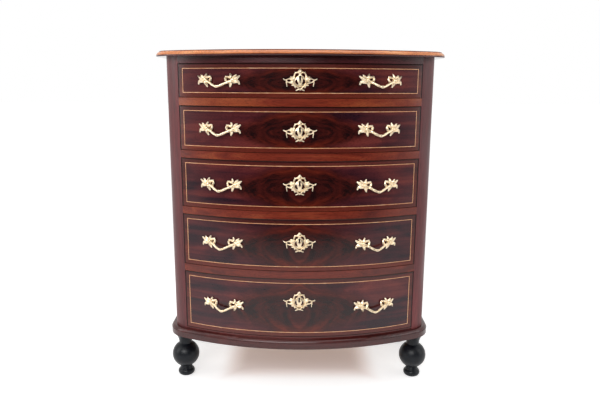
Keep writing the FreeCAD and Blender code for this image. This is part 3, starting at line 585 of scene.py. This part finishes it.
def piercing(bm, outline):
    """Upright prism on an outline, as a cutting tool."""
    low = [bm.verts.new((a, u, -THROUGH)) for a, u in outline]
    high = [bm.verts.new((a, u, THROUGH)) for a, u in outline]
    for k in range(len(outline)):
        n = (k + 1) % len(outline)
        bm.faces.new((low[k], low[n], high[n], high[k]))
    bm.faces.new(reversed(low))
    bm.faces.new(high)


def loose_object(name, bm):
    bmesh.ops.recalc_face_normals(bm, faces=bm.faces)
    mesh = bpy.data.meshes.new(name)
    bm.to_mesh(mesh)
    bm.free()
    made = bpy.data.objects.new(name, mesh)
    bpy.context.scene.collection.objects.link(made)
    return made


def close_up(mesh):
    """Close very short edges."""
    bm = bmesh.new()
    bm.from_mesh(mesh)
    bmesh.ops.dissolve_degenerate(bm, dist=SHORT_EDGE, edges=bm.edges)
    bmesh.ops.triangulate(bm, faces=bm.faces)
    bm.to_mesh(mesh)
    bm.free()


def cast(name, bm, tools, voxel, keep):
    """One skin round all the strokes, pierced, seated on the bow and in metres."""
    rough = loose_object(name + "_rough", bm)
    spare = [rough]
    skin = rough.modifiers.new("skin", "REMESH")
    skin.mode = "VOXEL"
    skin.voxel_size = voxel
    soften = rough.modifiers.new("soften", "SMOOTH")
    soften.factor = SOFTEN_FACTOR
    soften.iterations = SOFTEN_TIMES
    rough.modifiers.new("thin", "DECIMATE").ratio = keep
    if tools is not None:
        cutter = loose_object(name + "_tool", tools)
        spare.append(cutter)
        pierce = rough.modifiers.new("pierce", "BOOLEAN")
        pierce.operation = "DIFFERENCE"
        pierce.object = cutter
    shape = rough.evaluated_get(bpy.context.evaluated_depsgraph_get())
    mesh = bpy.data.meshes.new_from_object(shape)
    mesh.name = name
    close_up(mesh)
    for vertex in mesh.vertices:
        across, up, out = vertex.co / MM_PER_M
        radius = BOW_RADIUS + max(out, SEAT / MM_PER_M)
        angle = across / BOW_RADIUS
        vertex.co = (radius * sin(angle), -radius * cos(angle), up)
    mesh.shade_smooth()
    mesh.set_sharp_from_angle(angle=SHARP_EDGE)
    for thing in spare:
        bpy.data.objects.remove(thing)
    return mesh


PULL_SPACING = 93.0         # between the two studs of a pull
PULL_VOXEL = 0.7            # finest detail of the skin
PULL_KEEP = 0.22            # share of its faces that are kept
LEAF_SHIFT = 1.8            # leaves of both rosettes to the left of their studs
# Domes of a rosette: across, counted away from the grip, up, half width, half height, rise, out
ROSETTE_DOMES = ((4, 0, 12.5, 11.5, 6.0, 0.0), (0, 0, 6, 6, 5, 7))
# Leaves of a rosette, as strokes from its middle, with across counted in the same way
ROSETTE_STROKES = (
    ((0, 0, 5, 5, 4), (10, 3.5, 8, 6.4, 4), (18, 8, 6.5, 5, 3.2), (26, 13.5, 3.5, 2.4, 1.8)),
    ((0, 0, 5, 5, 4), (10, -3.5, 8, 6.4, 4), (20, -5.5, 6.5, 5, 3.2), (24, -14.5, 3.5, 2.6, 1.8)),
    ((0, 0, 5, 5, 4), (-2, 8, 8, 5.6, 4), (-4, 14.5, 6.5, 4.4, 3.2), (-6.5, 20.5, 3.5, 2.4, 1.8)),
    ((0, 4, 5, 4.5, 3.4), (-8, 8.2, 7.5, 4.6, 3.6), (-15, 9.8, 7, 4.4, 3.4),
     (-22.5, 11.5, 5, 2.8, 2.2)),
    ((0, 0, 5, 5, 4), (-3, -8, 8, 6, 4), (-5.5, -15, 6.5, 5, 3.2), (-8, -22.5, 3.5, 2.6, 1.8)),
    ((3, 5, 6, 4, 3), (9.5, 12, 6.5, 4.4, 3), (14.5, 17.5, 4, 2, 1.6)),
    ((-19.5, 9, 5.5, 4, 3), (-21.5, 3.5, 7, 4.4, 3.2), (-18.5, -4.5, 9, 4.4, 3.4)),
)
ROOT_STROKE = (
    (0, -2, 6, 5.4, 4), (-8, -5, 8, 5, 4), (-15, -7, 10, 4.8, 4), (-22, -10, 12.5, 4, 4),
)
# The twig between the rosettes, from the middle of the pull
GRIP_STROKE = (
    (-31.5, -7, 10.5, 4.8, 4.5), (-25, -11, 14, 3.9, 3.9), (-18, -15, 17, 4.5, 4.2),
    (-10, -18.5, 20, 3.8, 3.8), (-3, -20.2, 21.5, 4.8, 4.5), (5, -19, 20, 3.8, 3.8),
    (14, -15, 17, 4.4, 4.1), (23, -10.8, 13.5, 3.9, 3.9), (31.5, -7, 10.5, 4.8, 4.5),
)


def placed(stops, s, shift=0.0):
    """Stops of a right-hand stroke, mirrored where s is -1, and moved across."""
    return [(shift + s * a, u, o, w, t) for a, u, o, w, t in stops]


def pull_mesh():
    """Two leaf rosettes with a twig between them, as one casting."""
    bm = bmesh.new()
    for s in (-1, 1):
        middle = s * PULL_SPACING / 2
        for across, *rest in ROSETTE_DOMES:
            dome(bm, middle + s * across, *rest)
        for stops in ROSETTE_STROKES:
            stroke(bm, placed(stops, s, middle - LEAF_SHIFT))
        stroke(bm, placed(ROOT_STROKE, s, middle), ROUND_SECTION)
    stroke(bm, GRIP_STROKE, ROUND_SECTION)
    return cast("pull", bm, None, PULL_VOXEL, PULL_KEEP)


PLATE_VOXEL = 0.6
PLATE_KEEP = 0.25
# Domes of a key plate, from its keyhole: across, up, half width, half height, rise
PLATE_DOMES = ((0, -10, 18.5, 19, 4.6), (0, 5, 7, 9.5, 4.4), (0, -8.5, 8.6, 15, 7.2))
PLATE_SIDE_DOME = (21.5, -9, 8, 12.5, 3.4)
# Right half of a key plate, as strokes from its keyhole; each is mirrored for the left
PLATE_LEAVES = (
    ((17, -5, 3.5, 4.5, 3.2), (26, -2.5, 4.5, 6.4, 3.6), (35, -2, 4, 2.6, 2.6),
     (44, -5.5, 3, 2.6, 2.2), (49, -4.5, 2.6, 2.4, 2), (53.5, -1.5, 1.8, 1.8, 1.4)),
    ((18, -3, 3.5, 3.4, 2.8), (25, 1.5, 4, 4.2, 2.8), (30.5, 4.5, 2.4, 1.8, 1.4)),
    ((42.5, -7, 2.8, 2.4, 2), (42.5, -16, 2.4, 2.1, 1.8), (41, -26.5, 1.6, 1.5, 1.2)),
    ((15, -18, 3.4, 3.6, 2.6), (21.5, -21.5, 3, 3.2, 2.4), (27, -22, 2, 1.8, 1.4)),
    ((17, -20, 3.2, 3.4, 2.6), (16, -26, 2.8, 2.8, 2.2), (14, -31, 1.8, 1.8, 1.4)),
    ((13, 14, 3, 2.4, 2), (15.5, 17, 2.6, 2.2, 1.8), (16.2, 19, 2, 1.6, 1.4)),
)
PLATE_SCROLLS = (
    ((18.5, 0, 3.6, 2.8, 2.6), (18, 8, 3.4, 2.5, 2.3), (14.5, 15.5, 3.2, 2.5, 2.2),
     (7.5, 17.5, 3.2, 2.4, 2.2), (0, 18, 3.2, 2.4, 2.2)),
    ((18, 2, 3.8, 2.8, 2.6), (20.5, -5, 4.4, 3.4, 3), (20.5, -13, 4.2, 3.2, 2.8),
     (15.5, -22, 3.6, 2.8, 2.4), (8, -28, 3, 2.4, 2.2)),
    ((18, -13, 3.5, 4, 3), (26.5, -13.5, 3.8, 4.6, 2.8), (33.5, -13.5, 3, 2.4, 2.2),
     (38.5, -12, 2.8, 2, 1.8), (42.5, -8.5, 2.8, 2, 1.8)),
    ((9, -26, 3, 2.4, 2.2), (6, -30.5, 3, 2.2, 2), (2.5, -33.5, 3, 2.2, 2),
     (8, -36, 2.6, 2.2, 2), (13.5, -38.5, 1.8, 1.6, 1.3)),
)
FINIAL_STROKE = (
    (0, 12.5, 3, 4, 2.2), (0, 17, 3.6, 10.5, 3.2), (0, 22, 3.2, 6.8, 2.8), (0, 28.6, 1.8, 1.5, 1.3),
)
DROP_STROKE = ((0, -32, 3, 2.4, 2), (0, -35, 2.6, 2.6, 2), (0, -38.2, 1.8, 1.5, 1.3))
KEYHOLE_RADIUS = 3.65
KEYHOLE_SLOT = 5.8
KEYHOLE_HEIGHT = 16.0
CRESCENT_UP = -9.0
CRESCENT_RADIUS = 11.8
CRESCENT_WIDTH = 7.4
CRESCENT_FROM = radians(-62)
CRESCENT_TO = radians(28)
CRESCENT_TIP = 0.05         # half its width at each end
ARC_STEPS = 20


def keyhole_outline():
    half = KEYHOLE_SLOT / 2
    top = KEYHOLE_HEIGHT / 2 - KEYHOLE_RADIUS
    gap = asin(half / KEYHOLE_RADIUS)
    turns = [gap - pi / 2 + (2 * pi - 2 * gap) * k / ARC_STEPS for k in range(ARC_STEPS + 1)]
    ring = [(KEYHOLE_RADIUS * cos(t), top + KEYHOLE_RADIUS * sin(t)) for t in turns]
    return ring + [(-half, -KEYHOLE_HEIGHT / 2), (half, -KEYHOLE_HEIGHT / 2)]


def crescent_outline(s):
    """Crescent on the right, or on the left where s is -1, widest in its middle."""
    outer, inner = [], []
    for k in range(ARC_STEPS + 1):
        share = k / ARC_STEPS
        turn = CRESCENT_FROM + (CRESCENT_TO - CRESCENT_FROM) * share
        half = max(CRESCENT_WIDTH / 2 * max(sin(pi * share), 0.0) ** 0.5, CRESCENT_TIP)
        for ring, radius in ((outer, CRESCENT_RADIUS + half), (inner, CRESCENT_RADIUS - half)):
            ring.append((s * radius * cos(turn), CRESCENT_UP + radius * sin(turn)))
    return outer + inner[::-1]


def plate_mesh():
    """Pierced key plate of leaves and scrolls."""
    bm = bmesh.new()
    for sizes in PLATE_DOMES:
        dome(bm, *sizes)
    for s in (-1, 1):
        across, *rest = PLATE_SIDE_DOME
        dome(bm, s * across, *rest)
    stroke(bm, FINIAL_STROKE)
    stroke(bm, DROP_STROKE)
    for s in (-1, 1):
        for section, strokes in ((LEAF_SECTION, PLATE_LEAVES), (ROUND_SECTION, PLATE_SCROLLS)):
            for stops in strokes:
                stroke(bm, placed(stops, s), section)
    tools = bmesh.new()
    piercing(tools, keyhole_outline())
    for s in (-1, 1):
        piercing(tools, crescent_outline(s))
    return cast("key_plate", bm, tools, PLATE_VOXEL, PLATE_KEEP)


# Studs and nuts, in metres again

STUD_RADIUS = 0.0025
STUD_FRONT = 0.003          # how far a stud reaches into its rosette
STUD_END = 0.0281           # end of a stud behind the drawer's face
STUD_SIDES = 20
NUT_RADIUS = 0.0055
NUT_THICKNESS = 0.004
NUT_GAP = 0.0001
NUT_SIDES = 6
FIXING_BEVEL = 0.0004
BEVEL_STEPS = 2
SIDE_CORNERS = 4            # of each side of a bar; its ends have more


def rod(bm, radius, near, far, sides, angle, up):
    """Round or six-sided bar through the bow at an angle, from near to far behind the face."""
    turned = Matrix.Translation((0, bow_y, up)) @ Matrix.Rotation(angle, 4, "Z")
    middle = Matrix.Translation((0, -(BOW_RADIUS - (near + far) / 2), 0))
    laid = turned @ (middle @ Matrix.Rotation(pi / 2, 4, "X"))
    made = bmesh.ops.create_cone(bm, cap_ends=True, segments=sides, radius1=radius, radius2=radius,
                                 depth=far - near, matrix=laid)
    edges = {e for v in made["verts"] for e in v.link_edges}
    rims = [e for e in edges if sum(len(f.verts) > SIDE_CORNERS for f in e.link_faces) == 1]
    bmesh.ops.bevel(bm, geom=rims, offset=FIXING_BEVEL, segments=BEVEL_STEPS, affect="EDGES")


def fixings(number, up):
    """Studs and nuts behind a drawer's pulls."""
    bm = bmesh.new()
    near = FRONT_THICKNESS + NUT_GAP
    for pull in (-pull_angle, pull_angle):
        for s in (-1, 1):
            angle = pull + s * PULL_SPACING / (2 * MM_PER_M) / BOW_RADIUS
            rod(bm, STUD_RADIUS, -STUD_FRONT, STUD_END, STUD_SIDES, angle, up)
            rod(bm, NUT_RADIUS, near, near + NUT_THICKNESS, NUT_SIDES, angle, up)
    return loose_object("drawer_%d_pull_fixings" % number, bm)


def finish_piece(piece, body, node, material):
    if piece.name not in bpy.context.scene.collection.objects:
        bpy.context.scene.collection.objects.link(piece)
    if not piece.data.materials:
        piece.data.materials.append(material)
    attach(piece, body)
    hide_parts(node)


def dress_drawer(number, pull, plate, metal):
    """Castings and fixings of one drawer."""
    body = "drawer_%d" % number
    low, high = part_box(body + "_front")
    up = (low.z + high.z) / 2 + PULL_RISE
    for side, angle in (("left", -pull_angle), ("right", pull_angle)):
        piece = bpy.data.objects.new(body + "_pull_" + side, pull)
        piece.location = (0, bow_y, up)
        piece.rotation_euler = (0, 0, angle)
        finish_piece(piece, body, body + "_pulls", metal)
    piece = bpy.data.objects.new(body + "_key_plate", plate)
    piece.location = (0, bow_y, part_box(body + "_escutcheon")[1].z - PLATE_RISE)
    finish_piece(piece, body, body + "_escutcheon", metal)
    finish_piece(fixings(number, up), body, body + "_pulls", metal)


def paint(material, *names):
    for name in names:
        slots = nodes[name].data.materials
        slots.clear()
        slots.append(material)


def finish_solids():
    """Materials of the solids that show as they are."""
    red = ((0.3, "4a1614"), (0.5, "641f1a"), (0.7, "7d2d22"))
    plain = ((0.3, "421716"), (0.5, "571f1c"), (0.7, "6e2b27"))
    band = ((0.3, "371111"), (0.5, "471816"), (0.7, "5c2220"))
    stile = ((0.3, "501f22"), (0.5, "672b2d"), (0.7, "7e3a3b"))
    bright = ((0.28, "591c13"), (0.5, "80301f"), (0.72, "a2502f"))
    # Darker wood for the top rails, a painted shade under the overhang of the top
    painted_shade_rails = ((0.3, "3a1517"), (0.5, "4d1e21"), (0.7, "632c30"))
    warm = ((0.3, "6b301c"), (0.5, "874426"), (0.7, "a35b36"))
    # Pale wood for the round of the top's edge, a painted highlight
    painted_highlight_edge = ((0.3, "b3643a"), (0.5, "da8652"), (0.7, "eca874"))
    pale = ((0.3, "93693f"), (0.5, "b08654"), (0.72, "c8a06c"))
    paint(polished_wood("mahogany_upright", UPRIGHT, stile, seed=1.0, dullness=STILE_DULLNESS),
          "left_stile", "right_stile")
    paint(polished_wood("mahogany_sides", UPRIGHT, red, seed=4.0, streaks_across=SIDE_STREAKS),
          "left_side", "right_side")
    paint(rail_wood(bright), "divider_rails")
    # The top rails take the darker wood as painted shade under the top's overhang.
    paint(polished_wood("mahogany_top_rails", WIDE, painted_shade_rails, seed=RAIL_SEED), "top_rails")
    paint(polished_wood("mahogany_base", WIDE, plain, seed=7.0), "base_rail")
    paint(polished_wood("mahogany_plinth", WIDE, band, seed=7.0), "plinth_moulding")
    # The top's lower lip and underside take the base rail's darker wood, as painted shade.
    paint(top_wood(warm, painted_highlight_edge, plain), "top_board")
    paint(bare_wood("pine_upright", UPRIGHT, pale, seed=3.0, board=BACK_BOARD), "back_boards")
    paint(bare_wood("pine_across", WIDE, pale, seed=6.0),
          "bottom_board", "drawer_stops", "foot_blocks")
    paint(bare_wood("pine_deep", DEEP, pale, seed=8.0), "drawer_runners")
    paint(ebonised(), "feet")
    deep = bare_wood("oak_deep", DEEP, pale, seed=9.0)
    across = bare_wood("oak_across", WIDE, pale, seed=11.0)
    line = boxwood()
    iron = lock_iron()
    for number in DRAWERS:
        body = "drawer_%d_" % number
        paint(flame_veneer(number), body + "front")
        paint(deep, body + "sides")
        paint(across, body + "back", body + "bottom")
        paint(line, body + "stringing")
        paint(iron, body + "lock", body + "lock_bolt")


# Studio

FLOOR_HALF = 30.0
FLOOR_FRONT = -2.15         # where the paper under the chest ends, below the camera
FLOOR_FADE = (0.4, 1.6)     # from plain paper to plain white, out from the chest
FLOOR_ROUGHNESS = 0.9
SHADE_GLOW = 0.2            # light that the paper shows besides what falls on it: under the chest
PAPER_GLOW = 0.55           # and round it
SHADE_HALF = (0.19, 0.16)   # half the size of the shade under the chest
SHADE_BACK = 0.13           # middle of the shade behind the middle of the chest
SHADE_EDGE = 0.12           # width of its soft edge


def shown_rays(shader):
    """1 for rays that show a thing, straight or in a reflection, and 0 for the rest."""
    path = shader.node("LightPath").outputs
    seen = shader.greater(path["Is Camera Ray"], path["Is Glossy Ray"])
    return shader.greater(seen, path["Is Transmission Ray"])


def floor():
    """Paper that turns into the white of the background, with a painted shadow under the chest."""
    bm = bmesh.new()
    corners = ((-1, FLOOR_FRONT), (1, FLOOR_FRONT), (1, FLOOR_HALF), (-1, FLOOR_HALF))
    bm.faces.new([bm.verts.new((s * FLOOR_HALF, y, 0)) for s, y in corners])
    made = loose_object("floor", bm)
    shader = Shader("floor")
    place = shader.axes(shader.place)
    beside = shader.calc("ABSOLUTE", place[WIDE])
    behind = shader.calc("ABSOLUTE", shader.minus(place[DEEP], SHADE_BACK))
    past = shader.greater(shader.minus(beside, SHADE_HALF[0]), shader.minus(behind, SHADE_HALF[1]))
    far = shader.ranged(past, *FLOOR_FADE)
    # Painted shadow: the paper glows less under the chest than round it.
    glow = shader.plus(shader.ranged(past, 0.0, SHADE_EDGE, SHADE_GLOW, PAPER_GLOW),
                       shader.times(far, 1.0 - PAPER_GLOW))
    specks = shader.noise(shader.place, scale=3.0, detail=2.0)
    paper = shader.ramp(specks, ((0.3, "e4e4e4"), (0.7, "e8e8e8")))
    # Painted shadow: the glow under the chest is tinted warm.
    shown = shader.mix(shader.ranged(past, 0.0, SHADE_EDGE), linear("ffd6c6"), linear("ffffff"))
    shader.set(Base_Color=shader.mix(far, paper, linear("000000")), Roughness=FLOOR_ROUGHNESS,
               Emission_Color=shown, Emission_Strength=shader.times(glow, shown_rays(shader)))
    made.data.materials.append(shader.material)


ROOM_FRONT = 0.04           # brightness of the room behind the photographer
ROOM_SIDES = 0.6            # light that comes from the white paper behind the chest and beside it
ROOM_TURN = (-0.95, -0.25)  # from the one to the other, as a direction's share of Y


def studio_world():
    """White paper behind the chest and beside it, a dim room towards the photographer."""
    world = bpy.data.worlds.new("studio")
    bpy.context.scene.world = world
    world.use_nodes = True
    light = Nodes(world.node_tree)
    deep = light.axes(light.node("TexCoord").outputs["Generated"])[DEEP]
    path = light.node("LightPath").outputs
    mirrored = light.greater(path["Is Glossy Ray"], path["Is Transmission Ray"])
    paper = light.ranged(mirrored, 0.0, 1.0, ROOM_SIDES, 1.0)
    room = light.ranged(deep, *ROOM_TURN, ROOM_FRONT, paper)
    background = light.tree.nodes["Background"].inputs
    light.put(background["Strength"], light.greater(room, path["Is Camera Ray"]))
    light.put(background["Color"], linear("ffffff"))


# Lamps: name, place, what it points at, width, height, power
SOFTBOXES = (
    ("front_light", (-1.0, -4.1, 2.7), (0, 0, 0.6), 3.2, 1.8, 125.0),
    ("left_light", (-3.0, -1.0, 1.5), (0, 0, 0.7), 1.2, 2.2, 20.0),
    ("right_light", (3.0, -1.0, 1.5), (0, 0, 0.7), 1.2, 2.2, 13.0),
    ("top_light", (0, -0.3, 3.3), (0, -0.1, 0), 2.6, 2.0, 24.0),
)


def softbox(name, place, aim, width, height, power):
    data = bpy.data.lights.new(name, "AREA")
    data.shape = "RECTANGLE"
    data.size = width
    data.size_y = height
    data.energy = power
    made = bpy.data.objects.new(name, data)
    made.location = place
    made.rotation_euler = (Vector(aim) - Vector(place)).to_track_quat("-Z", "Y").to_euler()
    made.visible_camera = False
    bpy.context.scene.collection.objects.link(made)


def camera():
    level = Vector((cos(CAMERA_YAW), -sin(CAMERA_YAW), 0))
    ahead = Vector((sin(CAMERA_YAW) * cos(CAMERA_PITCH), cos(CAMERA_YAW) * cos(CAMERA_PITCH),
                    -sin(CAMERA_PITCH)))
    below = ahead.cross(level)
    right = cos(CAMERA_ROLL) * level + sin(CAMERA_ROLL) * below
    down = cos(CAMERA_ROLL) * below - sin(CAMERA_ROLL) * level
    data = bpy.data.cameras.new("camera")
    data.sensor_width = SENSOR_MM
    data.lens = FOCAL_PIXELS * SENSOR_MM / PHOTO_WIDTH
    made = bpy.data.objects.new("camera", data)
    turn = Matrix((right, -down, -ahead)).transposed().to_4x4()
    made.matrix_world = Matrix.Translation(CAMERA_PLACE) @ turn
    bpy.context.scene.collection.objects.link(made)
    bpy.context.scene.camera = made


bpy.context.scene.view_settings.view_transform = "Standard"
finish_solids()
pull = pull_mesh()
plate = plate_mesh()
metal = brass()
for number in DRAWERS:
    dress_drawer(number, pull, plate, metal)
floor()
studio_world()
for lamp in SOFTBOXES:
    softbox(*lamp)
camera()
